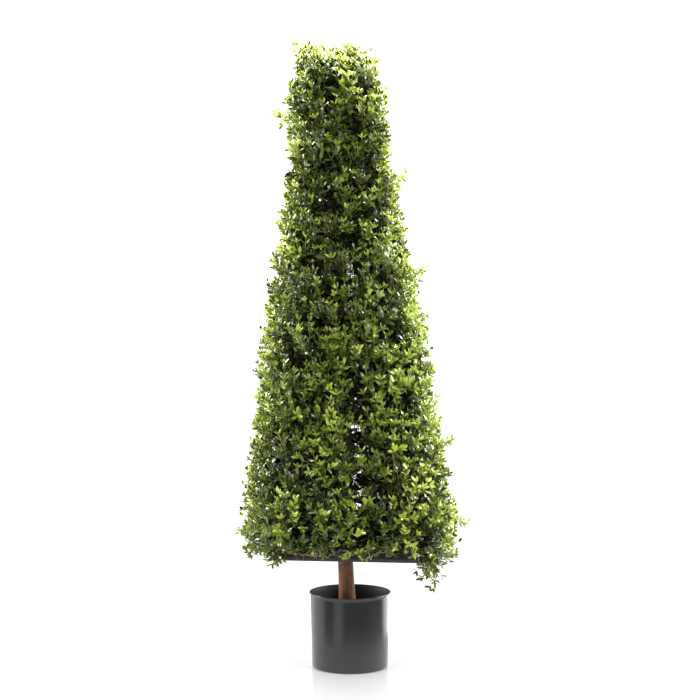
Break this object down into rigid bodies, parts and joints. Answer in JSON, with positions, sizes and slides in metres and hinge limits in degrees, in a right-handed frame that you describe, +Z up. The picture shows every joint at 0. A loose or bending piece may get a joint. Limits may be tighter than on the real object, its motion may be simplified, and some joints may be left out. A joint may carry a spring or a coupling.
{
  "type": "artificial boxwood topiary",
  "caption": "Artificial boxwood topiary: a slim square-based cone of leafy mats on a wooden pole that stands in a weighted round pot.",
  "frame": {"origin": "middle of the pot's flat underside", "axes": "+Z up along the pot's axis, -Y out of the front, +X to the right as seen from the front"},
  "size_m": [0.4215, 0.3903, 1.1495],
  "materials": {
    "pot_plastic": "gloss",
    "cement": "matte",
    "pole_wood": "satin",
    "plate_wood": "matte",
    "batten_wood": "matte",
    "boxwood": "satin"
  },
  "bodies": {
    "root": {"pot": "pot_plastic", "pot_cement": "cement", "trunk": "pole_wood", "tray_plate": "plate_wood", "tray_batten_right": "batten_wood", "tray_batten_back": "batten_wood", "tray_batten_left": "batten_wood", "tray_batten_front": "batten_wood", "foliage_right_1": "boxwood", "foliage_right_2": "boxwood", "foliage_right_3": "boxwood", "foliage_right_4": "boxwood", "foliage_back_1": "boxwood", "foliage_back_2": "boxwood", "foliage_back_3": "boxwood", "foliage_back_4": "boxwood", "foliage_left_1": "boxwood", "foliage_left_2": "boxwood", "foliage_left_3": "boxwood", "foliage_left_4": "boxwood", "foliage_front_1": "boxwood", "foliage_front_2": "boxwood", "foliage_front_3": "boxwood", "foliage_front_4": "boxwood", "foliage_crest": "boxwood"}
  },
  "joints": []
}
